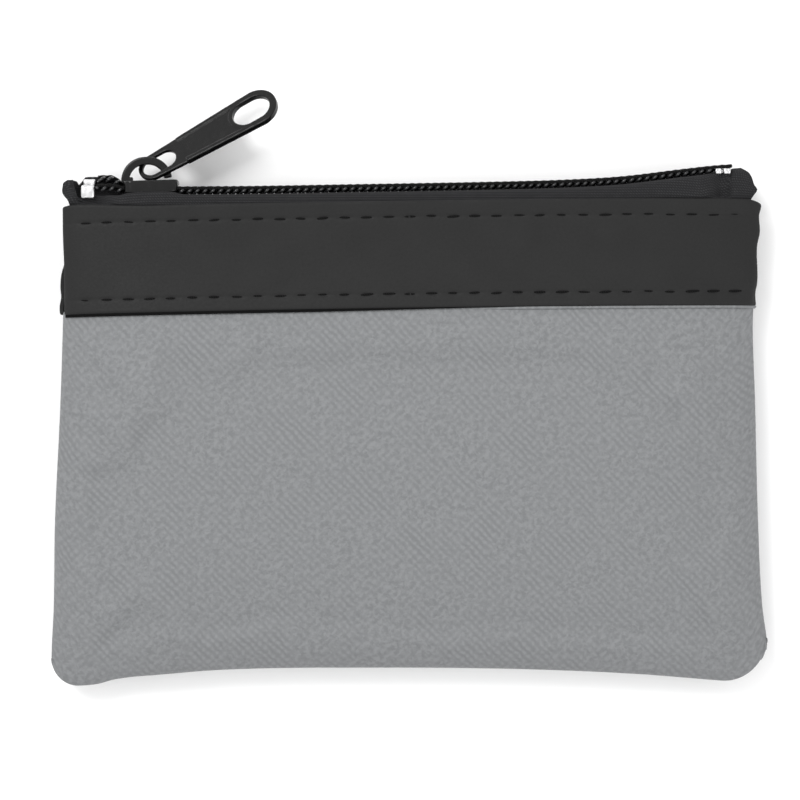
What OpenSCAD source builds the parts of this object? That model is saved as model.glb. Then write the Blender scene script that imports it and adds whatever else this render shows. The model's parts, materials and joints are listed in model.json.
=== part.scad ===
// Small zipped pouch, lying on its back with the front panel up.
// X runs along the zip, Y from the bottom seam to the zip, Z up through the thickness.
// The origin is on the flat face that the pouch rests on, below the middle of the bag.

/* [Bag] */
// Width between the side seams at the mouth
bag_w = 125.6; // [124:0.2:127]
// Height from the bottom seam to the top fold of the band
bag_h = 84; // [82:0.5:86]
// Extra half width at the bottom corners
flare = 1.7; // [0:0.1:3]
// How far the bottom corners stand below the middle of the bottom seam
ear_drop = 2.6; // [0:0.1:3]
// Radius of the bottom corners in front view
corner_r = 5; // [3:0.5:8]
// Height of the seam line above the table
seam_z = 6; // [5.5:0.1:6.5]
// Full thickness of the pouch at the belly
belly_z = 14; // [13:0.5:15]
// Half thickness of the pouch at the mouth
mouth_half = 4.7; // [4.6:0.05:4.8]
// Thickness of the coated body fabric
wall_t = 0.6; // [0.5:0.1:0.8]
// Width of the doubled-in fabric along the seams
allowance_w = 6; // [4:0.5:8]

/* [Band] */
// Height of the band on each side of the mouth
band_h = 19.3; // [18:0.1:20]
// Thickness of the folded band
band_t = 0.7; // [0.5:0.1:0.8]
// Rise of the band's top fold from left to right, in degrees
band_tilt = 0.8; // [0:0.1:1.2]
// Distance from one stitch to the next
stitch_pitch = 3.9; // [3:0.1:5]
// Length of one visible stitch
stitch_l = 2.7; // [2:0.1:2.9]
// Radius of the sewing thread
thread_r = 0.2; // [0.15:0.01:0.25]

/* [Zip] */
// Distance along X from the middle of the bag to the slider's middle
slider_x = -46.8; // [-47.5:0.1:-46]
// Distance along Y from the origin to the middle of the chain, at the slider
chain_y = 44; // [43.8:0.1:44.4]
// Rise of the chain from left to right, in degrees
zip_tilt = 1.8; // [1.2:0.1:1.8]
// Distance from one coil tooth to the next
coil_pitch = 1.4; // [1.2:0.1:1.6]
// Depth of the coil across the chain
coil_w = 1.9; // [1.7:0.1:1.9]
// Thickness of the coil
coil_t = 1.2; // [1:0.1:1.3]
// Thickness of the woven tape
tape_t = 0.4; // [0.3:0.1:0.4]

/* [Slider] */
// Length of the slider body
slider_l = 9.6; // [9:0.1:10]
// Width of the slider body at the end where the two chains enter
slider_w = 7.8; // [7.6:0.1:8]
// Outer height of the slider body
slider_h = 3.4; // [3.3:0.1:3.6]
// Middle radius of the bail's arch
bail_r = 3.6; // [3.5:0.1:3.7]
// Thickness of the bail, seen from the side
bail_t = 1.2; // [1:0.1:1.3]
// Direction of the pull tab above the chain, in degrees
tab_angle = 29.5; // [28:0.5:32]
// Roll of the pull tab about its own length, in degrees
tab_roll = 38; // [37:1:40]
// Distance from the middle of the eye to the middle of the round tip
tab_l = 21.5; // [20:0.5:23]

/* [Hidden] */
$fn = 48;

fabric_grey = [0.56, 0.57, 0.58];
trim_black = [0.13, 0.13, 0.13];
tape_black = [0.10, 0.10, 0.11];
coil_black = [0.06, 0.06, 0.07];
metal_black = [0.09, 0.09, 0.09];
metal_bright = [0.85, 0.85, 0.86];
thread_black = [0.04, 0.04, 0.04];
thread_grey = [0.45, 0.46, 0.47];

bottom_y = -42.3;
top_y = bottom_y + bag_h;
slack = 0.05;              // space between layers that lie on each other
front_reach = 26;          // how far in from a seam the front goes on rising
back_reach = 14;           // how far in from a seam the back reaches the table
flat_top = 6;              // where the back leaves the table, towards the mouth
seam_gap = 0.2;            // half the gap between the two panels at the bottom seam
mouth_gap = 0.95;          // gap above the seam line at the mouth's ends
panel_top = top_y - 11.5;  // where the body fabric ends, under the band
tape_bottom = top_y - 8;   // where the zip tape ends, under the band
upper_row = 2.9;           // stitch row below the band's top fold
lower_row = 2.5;           // stitch row above the band's bottom fold
tape_drop = 0.5;           // top face of the tape below the middle of the chain
front_tooth = 1.1;         // tooth tips of the front coil from the middle of the chain
back_tooth = 0.6;          // the same for the back coil
chain_start = -10.1;
chain_end = 101.7;
stop_l = 2.5;
stop_w = 2.2;

function clamp01(t) = max(0, min(1, t));
function ease(t) = let(c = clamp01(t)) c * c * (3 - 2 * c);
function mix(a, b, t) = a + (b - a) * t;
function dome(d, reach) = let(c = 1 - clamp01(d / reach)) sqrt(1 - c * c);

// Outline of the pouch in front view
function half_w(y) = bag_w / 2 + flare * clamp01((top_y - y) / bag_h);
function low_edge(x) =
    let(
        side = half_w(bottom_y),
        past = max(0, abs(x) - (side - corner_r)),
        ear = ear_drop * ease((abs(x) - 20) / 36)
    )
    bottom_y - ear + corner_r - sqrt(corner_r * corner_r - pow(min(past, corner_r), 2));
function high_edge(x) = top_y + x * tan(band_tilt);

// Rise of the front above the seam line, and drop of the back below it
function front_rise(y) = mix(belly_z - seam_z, mouth_half, ease((y + 6) / (top_y + 2)));
function back_drop(y) = mix(seam_z, mouth_half, ease((y - flat_top) / 14));
function front_gap(y) = mix(seam_gap, mouth_gap, clamp01((y - bottom_y) / bag_h));

// Height of the outer face of the body fabric at (x, y), inset by t
function front_z(x, y, t = 0) =
    seam_z + front_gap(y) + (front_rise(y) - front_gap(y) - t)
        * dome(half_w(y) - t - abs(x), front_reach) * dome(y - low_edge(x) - t, front_reach);
function back_z(x, y, t = 0) =
    seam_z - seam_gap - (back_drop(y) - seam_gap - t)
        * dome(half_w(y) - t - abs(x), back_reach) * dome(y - low_edge(x) - t, back_reach);

// Stations from -1 to 1, and from 0 to 1, close together where the fabric turns
function across(n) = [for (i = [0:n]) sin(mix(-90, 90, i / n))];
function upward(n) = [for (i = [0:n]) 1 - cos(90 * i / n)];
function even(n) = [for (i = [0:n]) i / n];

// A closed sheet between two grids of points of the same size
module shell(outer, inner) {
    n = len(outer);
    m = len(outer[0]);
    inner_at = n * m;
    points = concat([for (row = outer) each row], [for (row = inner) each row]);
    faces_out = [for (i = [0:n - 2], j = [0:m - 2]) each quad(i * m + j, (i + 1) * m + j, m, 0)];
    faces_in = [for (i = [0:n - 2], j = [0:m - 2]) each quad(i * m + j, (i + 1) * m + j, m, inner_at)];
    rim = concat(
        [for (i = [0:n - 1]) i * m],
        [for (j = [1:m - 1]) (n - 1) * m + j],
        [for (i = [n - 2:-1:0]) i * m + m - 1],
        [for (j = [m - 2:-1:1]) j]
    );
    k = len(rim);
    faces_rim = [for (i = [0:k - 1]) each side_faces(rim[i], rim[(i + 1) % k], inner_at)];
    polyhedron(points, concat(faces_out, faces_in, faces_rim), convexity = 10);
}
function quad(a, b, m, at) = at == 0
    ? [[a, b + 1, a + 1], [a, b, b + 1]]
    : [[at + a, at + a + 1, at + b + 1], [at + a, at + b + 1, at + b]];
function side_faces(a, b, at) = [[a, at + b, b], [a, at + a, at + b]];

// A body panel: from the bottom seam up to panel_top, with its turned-in allowances
function panel_point(u, v, t) =
    let(
        y_mid = mix(bottom_y, panel_top, v),
        x = u * (half_w(y_mid) - t),
        y = mix(low_edge(x) + t, panel_top + x * tan(band_tilt), v)
    )
    [x, y];
function panel_grid(front, t) = [
    for (u = across(32)) [
        for (v = upward(18))
            let(p = panel_point(u, v, t))
            [p.x, p.y, front ? front_z(p.x, p.y, t) : back_z(p.x, p.y, t)]
    ]
];
module front_panel() {
    color(fabric_grey) shell(panel_grid(true, wall_t), panel_grid(true, 0));
}
module back_panel() {
    color(fabric_grey) {
        shell(panel_grid(false, 0), panel_grid(false, wall_t));
        for (side = [-1, 1])
            seam_allowance(side);
        bottom_allowance();
    }
}
// The doubled edge inside the bag, joined to the back panel along the seam
allowance_y = (bottom_y + panel_top) / 2 + 3;
allowance_z = seam_z - seam_gap - wall_t / 2;
module seam_allowance(side) {
    edge = half_w(0) - 0.4;
    translate([side * (edge - allowance_w / 2), allowance_y, allowance_z])
        cube([allowance_w, panel_top - bottom_y - 8, wall_t], center = true);
}
module bottom_allowance() {
    translate([0, bottom_y + allowance_w / 2 + 0.4, allowance_z])
        cube([bag_w - 3 * allowance_w, allowance_w, wall_t], center = true);
}

// The folded band over the top of each panel and the edge of the zip tape
function band_grid(front, lift) = [
    for (u = across(32)) [
        for (v = even(8))
            let(
                x = u * (half_w(top_y) - 0.2),
                y = high_edge(x) - band_h * (1 - v)
            )
            [x, y, front ? front_z(x, y) + lift : back_z(x, y) - lift]
    ]
];
module front_band() {
    color(trim_black) shell(band_grid(true, slack), band_grid(true, slack + band_t));
}
module back_band() {
    color(trim_black) shell(band_grid(false, slack + band_t), band_grid(false, slack));
}

// A row of stitches that lies on the outer face of the band
module stitch_row(front, drop) {
    count = floor((bag_w - 4) / stitch_pitch);
    lift = slack + band_t + thread_r + 0.08;
    for (i = [0:count - 1]) {
        x = (i - (count - 1) / 2) * stitch_pitch;
        y = high_edge(x) - drop;
        here = front ? front_z(x, y) + lift : back_z(x, y) - lift;
        next = front ? front_z(x + 0.5, y) + lift : back_z(x + 0.5, y) - lift;
        translate([x, y, here])
            rotate([0, 90 - atan2(next - here, 0.5), band_tilt])
            cylinder(h = stitch_l, r = thread_r, center = true, $fn = 24);
    }
}
module front_upper_stitching() { color(thread_black) stitch_row(true, upper_row); }
module front_lower_stitching() { color(thread_black) stitch_row(true, band_h - lower_row); }
module back_upper_stitching() { color(thread_black) stitch_row(false, upper_row); }
module back_lower_stitching() { color(thread_black) stitch_row(false, band_h - lower_row); }

// Stitches under the doubled edges, inside the bag
module seam_stitches(length, count) {
    for (i = [0:count - 1])
        translate([(i - (count - 1) / 2) * length / count, 0, 0])
            rotate([0, 90, 0])
            cylinder(h = length / count - 1, r = thread_r, center = true, $fn = 24);
}
seam_stitch_z = seam_z - seam_gap - wall_t - thread_r - 0.02;
module side_seam_stitching(side) {
    color(thread_grey)
        translate([side * (half_w(0) - 4), allowance_y, seam_stitch_z])
        rotate([0, 0, 90])
        seam_stitches(panel_top - bottom_y - 16, 20);
}
module left_seam_stitching() { side_seam_stitching(-1); }
module right_seam_stitching() { side_seam_stitching(1); }
module bottom_seam_stitching() {
    color(thread_grey)
        translate([0, bottom_y + 4, seam_stitch_z])
        seam_stitches(bag_w - 4 * allowance_w, 32);
}

// Frame of the zip: origin in the middle of the chain under the slider, Y away from the bag
module zip_frame() {
    translate([slider_x, chain_y, seam_z]) rotate([0, 0, zip_tilt]) children();
}
function chain_height(x) = chain_y + (x - slider_x) * tan(zip_tilt);

// The woven tape: up under the band, over the fold, and in along the chain
function tape_path(x, front) =
    let(
        sign = front ? 1 : -1,
        top = high_edge(x),
        chain = chain_height(x) - tape_drop,
        ys = [tape_bottom, tape_bottom + 4, top + 0.1],
        shoulder = max(abs((front ? front_z(x, top) : back_z(x, top)) - seam_z) - slack, 4.6),
        tip = front ? front_tooth + 0.15 : back_tooth + 0.15
    )
    concat(
        [for (y = ys) [y, (front ? front_z(x, y) : back_z(x, y)) - sign * slack]],
        [[chain - 1.2, seam_z + sign * shoulder]],
        [[chain - 0.25, seam_z + sign * (shoulder - 0.35)]],
        [[chain, seam_z + sign * (shoulder - 1.0)]],
        [[chain, seam_z + sign * tip]]
    );
function path_inset(path, t, sign) = [
    for (i = [0:len(path) - 1])
        let(
            a = path[max(0, i - 1)],
            b = path[min(len(path) - 1, i + 1)],
            d = (b - a) / norm(b - a)
        )
        path[i] + sign * t * [d.y, -d.x]
];
function tape_grid(front, t) = [
    for (i = [0:24])
        let(
            x = mix(-1, 1, i / 24) * (bag_w / 2 - 1.6),
            path = tape_path(x, front)
        )
        [for (p = path_inset(path, t, front ? 1 : -1)) [x, p.x, p.y]]
];
module front_zip_tape() {
    color(tape_black) shell(tape_grid(true, tape_t), tape_grid(true, 0));
}
module back_zip_tape() {
    color(tape_black) shell(tape_grid(false, 0), tape_grid(false, tape_t));
}

// One side of the nylon coil as a comb: a spine with a tooth at every pitch, and the filler
// cord's channel through all of them
coil_low = -tape_drop + slack;
cord_r = 0.3;
spine_w = 0.6;
function cord_at(tooth) = tooth + coil_w - spine_w - 0.1;
module coil_side(tooth, sign, shift) {
    count = floor((chain_end - chain_start - 1) / coil_pitch);
    color(coil_black)
        zip_frame()
        difference() {
            translate([0, coil_low, 0])
                rotate([-90, 0, 0])
                linear_extrude(coil_t)
                scale([1, -sign]) {
                    translate([chain_start, tooth + coil_w - spine_w])
                        square([chain_end - chain_start, spine_w]);
                    for (i = [0:count - 1])
                        translate([chain_start + 0.3 + shift + i * coil_pitch, tooth])
                            square([coil_pitch * 0.4, coil_w]);
                }
            translate([chain_start - 1, coil_low + coil_t / 2, sign * cord_at(tooth)])
                rotate([0, 90, 0])
                cylinder(h = chain_end - chain_start + 2, r = cord_r + 0.03, $fn = 24);
        }
}
module front_coil() { coil_side(front_tooth, 1, 0); }
module back_coil() { coil_side(back_tooth, -1, coil_pitch / 2); }

// The filler cord inside each coil, and the thread that sews the coil down
module chain_rod(z, y, r) {
    zip_frame()
        translate([chain_start, y, z])
        rotate([0, 90, 0])
        cylinder(h = chain_end - chain_start, r = r, $fn = 24);
}
sewing_r = 0.12;
sewing_y = coil_low + coil_t + sewing_r + 0.01;
sewing_in = coil_w - 0.4;
cord_y = coil_low + coil_t / 2;
module front_coil_cord() { color(coil_black) chain_rod(cord_at(front_tooth), cord_y, cord_r); }
module back_coil_cord() { color(coil_black) chain_rod(-cord_at(back_tooth), cord_y, cord_r); }
module front_coil_thread() { color(thread_black) chain_rod(front_tooth + sewing_in, sewing_y, sewing_r); }
module back_coil_thread() { color(thread_black) chain_rod(-back_tooth - sewing_in, sewing_y, sewing_r); }

// Metal stops beyond the ends of the coils. The slot lets the tape through.
tape_slot = tape_t + 2 * slack;
// A clip folded round the edge of one tape
module top_stop(sign, tooth) {
    cheek = 0.5;
    color(metal_bright)
        zip_frame()
        translate([chain_start - 0.1 - stop_l, -1.4, sign > 0 ? tooth - cheek : -tooth + cheek - stop_w])
        difference() {
            cube([stop_l, 2.5, stop_w]);
            translate([-1, 1.4 - tape_drop - tape_t - slack, sign > 0 ? cheek : -1])
                cube([stop_l + 2, tape_slot, stop_w + 1 - cheek]);
        }
}
module front_top_stop() { top_stop(1, front_tooth); }
module back_top_stop() { top_stop(-1, back_tooth); }
// The staple across both tapes at the far end, waisted between its two legs
module bottom_stop() {
    stop_half = 2.5;
    leg = 1.3;
    waist = 0.6;
    slot_y = -tape_drop - tape_t - slack;
    color(metal_bright)
        zip_frame()
        translate([chain_end + 0.2, 0, 0])
        difference() {
            translate([0, -1.5, -stop_half]) cube([2 * leg + waist, 2.9, 2 * stop_half]);
            translate([-1, slot_y, front_tooth]) cube([6, tape_slot, stop_half]);
            translate([-1, slot_y, -back_tooth - stop_half]) cube([6, tape_slot, stop_half]);
            for (side = [-1, 1])
                translate([leg, -2, side * stop_half - 0.4]) cube([waist, 2.8, 0.8]);
        }
}

// Slider: two plates with turned-in flanges, a divider between the chains, and the bail
channel = 1.05;            // half the height of the channel between the plates
nose_r = 1.4;
tail_r = 1;
tail_w = slider_w - 0.7;
channel_half = front_tooth + coil_w + 0.15;
module slider_outline() {
    hull() {
        for (side = [-1, 1]) {
            translate([-slider_l / 2 + nose_r, side * (slider_w / 2 - nose_r)]) circle(r = nose_r);
            translate([slider_l / 2 - tail_r, side * (tail_w / 2 - tail_r)]) circle(r = tail_r);
        }
    }
}
// A layer of the slider's outline between two heights
module slider_layer(low, high) {
    translate([0, low, 0])
        rotate([-90, 0, 0])
        linear_extrude(high - low)
        children();
}
module flange_outline() {
    difference() {
        slider_outline();
        square([slider_l + 2, 2 * channel_half], center = true);
    }
}
bail_x = -0.5;
bail_y = 1.9;
bail_w = 1.1;
// Part of a turn of the bail's bar, round the point (x, bail_y)
module bail_arc(x, from, to) {
    translate([x, bail_y, 0])
        rotate([0, 0, from])
        rotate_extrude(angle = to - from)
        translate([bail_r - bail_t / 2, -bail_w / 2])
        square([bail_t, bail_w]);
}
// The bail rises from its foot, runs level over a short span and comes down to a free tip
module bail() {
    span = 0.6;
    foot = 1.9;
    foot_y = slider_h / 2 - 0.2;
    foot_arc_x = bail_x - span;
    bail_arc(bail_x, 8, 90);
    bail_arc(foot_arc_x, 90, 180);
    translate([foot_arc_x, bail_y + bail_r - bail_t / 2, -bail_w / 2])
        cube([span, bail_t, bail_w]);
    translate([foot_arc_x - bail_r - bail_t / 2, foot_y, -bail_w / 2])
        cube([foot, bail_y - foot_y + 0.6, bail_w]);
}
module slider_body() {
    divider_w = 0.6;
    color(metal_black)
        zip_frame()
        union() {
            slider_layer(channel, slider_h / 2) slider_outline();
            slider_layer(-slider_h / 2, -channel) slider_outline();
            slider_layer(-tape_drop + 0.2, channel + 0.05) flange_outline();
            translate([-slider_l / 2 + 0.5, -channel - 0.1, -divider_w / 2])
                cube([2.6, 2 * channel + 0.2, divider_w]);
            bail();
        }
}

// Pull tab: a flat plate with raised rims, an eye round the bail and an oval hole at the tip.
// It swings about an axis across the chain, in the opening of the bail.
eye_x = 0.5;
eye_y = 4.3;
eye_r = 2.75;
tip_r = 3.85;
rim_w = 0.8;
module tab_outline(inset = 0) {
    hull() {
        circle(r = eye_r - inset);
        translate([tab_l, 0]) circle(r = tip_r - inset);
    }
}
module tab_holes(grow = 0) {
    hull()
        for (x = [-0.1, 2.7])
            translate([x, 0]) circle(r = 1.95 + grow);
    hull()
        for (x = [tab_l - 2.1, tab_l - 0.1])
            translate([x, 0]) circle(r = 2.7 + grow);
}
// The area sunk below the rims: all of the eye's end, and the panel between the rims
module tab_recess() {
    rim_start = 6;
    translate([-2 * eye_r, -2 * eye_r]) square([2 * eye_r + rim_start, 4 * eye_r]);
    difference() {
        tab_outline(rim_w);
        tab_holes(rim_w - 0.1);
    }
}
module pull_tab() {
    plate_t = 0.7;
    rim_t = 1.1;
    sink = (rim_t - plate_t) / 2;
    color(metal_black)
        zip_frame()
        translate([eye_x, eye_y, 0])
        rotate([0, 0, tab_angle - zip_tilt])
        rotate([-tab_roll, 0, 0])
        difference() {
            translate([0, 0, -rim_t / 2])
                linear_extrude(rim_t)
                difference() {
                    tab_outline();
                    tab_holes();
                }
            for (low = [-rim_t / 2 - 1, plate_t / 2])
                translate([0, 0, low])
                    linear_extrude(sink + 1)
                    tab_recess();
        }
}

back_panel();
front_panel();
back_band();
front_band();
back_zip_tape();
front_zip_tape();
back_coil();
front_coil();
back_coil_cord();
front_coil_cord();
back_coil_thread();
front_coil_thread();
slider_body();
pull_tab();
back_top_stop();
front_top_stop();
bottom_stop();
back_upper_stitching();
back_lower_stitching();
front_upper_stitching();
front_lower_stitching();
left_seam_stitching();
right_seam_stitching();
bottom_seam_stitching();
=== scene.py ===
"""The looks of a small zipped pouch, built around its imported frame.

Every mesh is scaled to metres as it is made. The frame is the part's own: X runs along the zip,
Y from the bottom seam to the zip, and Z is up.
"""

import json
import math

import bmesh
import bpy
import numpy as np
from mathutils import Matrix, Vector, noise


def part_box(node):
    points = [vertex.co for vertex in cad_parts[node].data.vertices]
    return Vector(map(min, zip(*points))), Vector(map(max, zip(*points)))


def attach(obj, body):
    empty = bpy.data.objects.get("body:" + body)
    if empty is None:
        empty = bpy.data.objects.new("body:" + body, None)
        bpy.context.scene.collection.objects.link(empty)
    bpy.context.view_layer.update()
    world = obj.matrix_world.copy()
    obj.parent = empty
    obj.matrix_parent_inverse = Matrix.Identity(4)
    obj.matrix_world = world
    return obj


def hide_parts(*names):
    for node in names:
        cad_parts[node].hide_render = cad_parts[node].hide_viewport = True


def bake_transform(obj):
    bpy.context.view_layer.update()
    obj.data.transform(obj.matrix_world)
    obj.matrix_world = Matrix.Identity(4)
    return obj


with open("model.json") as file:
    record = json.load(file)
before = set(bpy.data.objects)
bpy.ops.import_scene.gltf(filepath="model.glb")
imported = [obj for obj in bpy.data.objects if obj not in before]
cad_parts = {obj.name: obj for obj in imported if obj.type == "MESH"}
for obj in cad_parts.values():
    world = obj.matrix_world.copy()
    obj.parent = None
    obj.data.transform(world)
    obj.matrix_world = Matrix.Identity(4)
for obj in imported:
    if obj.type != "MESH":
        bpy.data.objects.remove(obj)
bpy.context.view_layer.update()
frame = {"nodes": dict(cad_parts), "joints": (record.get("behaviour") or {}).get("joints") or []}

MM = 0.001
NOISE_SEED = 1

# noise_vector shifts its place by random offsets, and the seed makes them the same in every run
noise.seed_set(NOISE_SEED)


def box_mm(node):
    """Lowest and highest corner of a CAD node, in millimetres."""
    low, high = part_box(node)
    return np.array(low) / MM, np.array(high) / MM


# ---------------------------------------------------------------- sizes, read from the frame
SLIDER_LOW, SLIDER_HIGH = box_mm("slider_body")
BAND_LOW, BAND_HIGH = box_mm("front_band")
CORD_LOW, CORD_HIGH = box_mm("back_coil_cord")

SLIDE = next(joint for joint in frame["joints"] if joint["type"] == "slide")
ZIP_SLOPE = SLIDE["axis"][1] / SLIDE["axis"][0]
SEAM_Z = (SLIDER_LOW[2] + SLIDER_HIGH[2]) / 2
BAND_SLOPE = math.tan(math.radians(0.8))
HALF_W = BAND_HIGH[0] + 0.2
TOP_Y = BAND_HIGH[1] - BAND_HIGH[0] * BAND_SLOPE
BAND_H = BAND_HIGH[1] - BAND_LOW[1] - 2 * BAND_HIGH[0] * BAND_SLOPE
# How far the front panel and each side of the mouth stand from the plane of the seams
BELLY_RISE = 8.0
MOUTH_HALF = 4.7
# How far in from the seams each side is domed, and where the back stops being flat
FRONT_REACH = 26
BACK_REACH = 14
FLAT_TOP = 6
# Half the gap between front and back: along the sides, at the bottom seam and at the mouth
SEAM_GAP = 0.04
HEEL_GAP = 0.3
MOUTH_GAP = 0.3
# Where the panels and the tapes end, hidden under the bands
PANEL_TOP = TOP_Y - 11.5
TAPE_BOTTOM = TOP_Y - 8
# Thickness of each cloth, and the air between two that lie on each other
FABRIC_T = 0.6
BAND_T = 0.7
TAPE_T = 0.4
HEM_T = 0.22
SLACK = 0.05
# Stitches, and their rows: the upper from the band's top fold, the lower from its bottom fold
STITCH_PITCH = 3.9
STITCH_L = 2.5
THREAD_R = 0.19
UPPER_ROW = 2.9
LOWER_ROW = 2.5
# The zip
COIL_PITCH = 1.4
SLIDER_HALF = 4.8
SLIDER_X = SLIDER_HIGH[0] - SLIDER_HALF


# ---------------------------------------------------------------- small mathematics
def clamp01(t):
    """t, kept from 0 to 1."""
    return np.clip(t, 0, 1)


def ease(t):
    """0 up to t = 0, 1 from t = 1, level at both ends."""
    t = clamp01(t)
    return t * t * (3 - 2 * t)


def mix(a, b, t):
    """a at t = 0, b at t = 1."""
    return a + (b - a) * t


def dome(distance, reach):
    """0 at a seam, 1 from reach inwards, upright where it starts."""
    c = 1 - clamp01(distance / reach)
    return np.sqrt(np.maximum(0, 1 - c * c))


def softened(wave, power):
    """A sine or cosine made squarer by a power under 1."""
    return np.sign(wave) * np.abs(wave) ** power


def through(knots, x):
    """A smooth curve through a few (place, value) knots."""
    places = np.array([k[0] for k in knots], float)
    values = np.array([k[1] for k in knots], float)
    steps = np.diff(values) / np.diff(places)
    slopes = np.concatenate([[steps[0]], (steps[1:] + steps[:-1]) / 2, [steps[-1]]])
    x = np.clip(np.asarray(x, float), places[0], places[-1])
    i = np.clip(np.searchsorted(places, x, side="right") - 1, 0, len(steps) - 1)
    gap = places[i + 1] - places[i]
    t = (x - places[i]) / gap
    start = (1 + 2 * t) * (1 - t) ** 2 * values[i] + t * (1 - t) ** 2 * gap * slopes[i]
    end = t * t * (3 - 2 * t) * values[i + 1] + t * t * (t - 1) * gap * slopes[i + 1]
    return start + end


def ripple(x, y, size, seed):
    """Smooth noise from -1 to 1 over the plane, with features of about that size."""
    x, y = np.broadcast_arrays(np.asarray(x, float), np.asarray(y, float))
    flat = [
        noise.noise(Vector((a / size, b / size, seed)))
        for a, b in zip(x.ravel(), y.ravel())
    ]
    return np.array(flat).reshape(x.shape)


# ---------------------------------------------------------------- the pouch's outline and surfaces
# The seams in front view: (Y, X) knots of the sides, (X, Y) knots of the bottom
LEFT_EDGE = [(-46, -65.0), (-39, -64.9), (-32, -64.55), (-16, -64.3), (6, -63.3), (22, -62.8)]
RIGHT_EDGE = [(-46, 65.0), (-38, 64.7), (-31, 63.8), (-16, 63.05), (6, 62.5), (20, 62.1), (30, 62.6)]
BOTTOM_EDGE = [
    (-66, -45.6), (-58.7, -45.5), (-56.3, -45.2), (-53.8, -44.5), (-50.5, -44.0), (-45.5, -43.6),
    (-36, -42.8), (-25, -42.4), (-8, -42.3), (8, -42.35), (25, -42.7), (42, -43.5), (51, -44.2),
    (57.5, -44.7), (66, -44.8),
]
LEFT_CORNER_R = 5.0
RIGHT_CORNER_R = 8.0
# The band's top fold: its bow, its raised left part, and its ends, which round off and drop
BOW = 0.35
LEFT_RAISE = 0.5
RAISE_FROM = 46
RAISE_LENGTH = 14
END_FROM = 60.3
END_LENGTH = 2.5
LEFT_END_DROP = 0.5
RIGHT_END_DROP = 1.6
# Over these distances the bottom seam's gap closes upwards and towards the sides
HEEL_HEIGHT = 3
HEEL_END = 2


def side_x(y, side):
    """X of the left (-1) or right (1) seam at height y."""
    return through(LEFT_EDGE if side < 0 else RIGHT_EDGE, y)


def low_y(x):
    """Y of the bottom seam at x, with the rounded corners."""
    radius = np.where(x < 0, LEFT_CORNER_R, RIGHT_CORNER_R)
    left = -side_x(BOTTOM_EDGE[0][1] + LEFT_CORNER_R, -1)
    right = side_x(BOTTOM_EDGE[-1][1] + RIGHT_CORNER_R, 1)
    side = np.where(x < 0, left, right)
    past = np.clip(np.abs(x) - (side - radius), 0, radius)
    return through(BOTTOM_EDGE, x) + radius - np.sqrt(radius**2 - past**2)


def band_line(x):
    """Y of the band's top fold at x, a little bowed. The rest of the band is parallel to it."""
    return TOP_Y + x * BAND_SLOPE + BOW * (1 - (x / HALF_W) ** 2)


def high_y(x):
    """Y of the pouch's upper edge at x: the band's top fold, raised on the left, its ends rounded."""
    drop = np.where(x < 0, LEFT_END_DROP, RIGHT_END_DROP)
    raised = LEFT_RAISE * ease((-x - RAISE_FROM) / RAISE_LENGTH)
    return band_line(x) + raised - drop * clamp01((np.abs(x) - END_FROM) / END_LENGTH) ** 2.5


def side_distance(x, y):
    """How far a point is from the nearer side seam."""
    return np.minimum(x - side_x(y, -1), side_x(y, 1) - x)


def half_gap(x, y):
    """Half the gap between front and back: room for the rounded bottom edges, and for the tapes."""
    heel = (1 - clamp01((y - low_y(x)) / HEEL_HEIGHT)) * clamp01(side_distance(x, y) / HEEL_END)
    return mix(mix(SEAM_GAP, HEEL_GAP, heel), MOUTH_GAP, clamp01((y - TOP_Y + BAND_H) / BAND_H))


def front_z(x, y):
    """Height of the front panel's face: domed from the seams, highest at the belly."""
    rise = mix(BELLY_RISE, MOUTH_HALF, ease((y + 6) / (TOP_Y + 2)))
    gap = half_gap(x, y)
    domes = dome(side_distance(x, y), FRONT_REACH) * dome(y - low_y(x), FRONT_REACH)
    return SEAM_Z + gap + (rise - gap) * domes


def back_z(x, y):
    """Height of the back panel's face: flat where it rests, domed from the seams."""
    drop = mix(SEAM_Z, MOUTH_HALF, ease((y - FLAT_TOP) / 14))
    gap = half_gap(x, y)
    domes = dome(side_distance(x, y), BACK_REACH) * dome(y - low_y(x), BACK_REACH)
    return SEAM_Z - gap - (drop - gap) * domes


# ---------------------------------------------------------------- the zip's line
# (X, Y) knots of how far the chain hangs from the slider's straight way
CHAIN_SAG = [
    (-66, 0.0), (-52, -0.25), (-42, -0.4), (-30, -0.7), (-10, -1.0), (15, -1.33), (28, -1.37),
    (38, -1.1), (50, -0.05), (56, 0.4), (66, 0.5),
]


def chain_y(x):
    """Y of the middle of the chain at x: the slider's straight way, and the chain's sag from it."""
    middle = (CORD_LOW + CORD_HIGH) / 2
    return middle[1] - 0.15 + (x - middle[0]) * ZIP_SLOPE + through(CHAIN_SAG, x)


def parting(x):
    """0 where the two coils are joined, 1 at the open end, left of the slider."""
    return ease((SLIDER_X - SLIDER_HALF + 1.2 - x) / 4)


# ---------------------------------------------------------------- meshes
def link(obj):
    """Puts an object into the scene and returns it."""
    bpy.context.scene.collection.objects.link(obj)
    return obj


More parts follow.
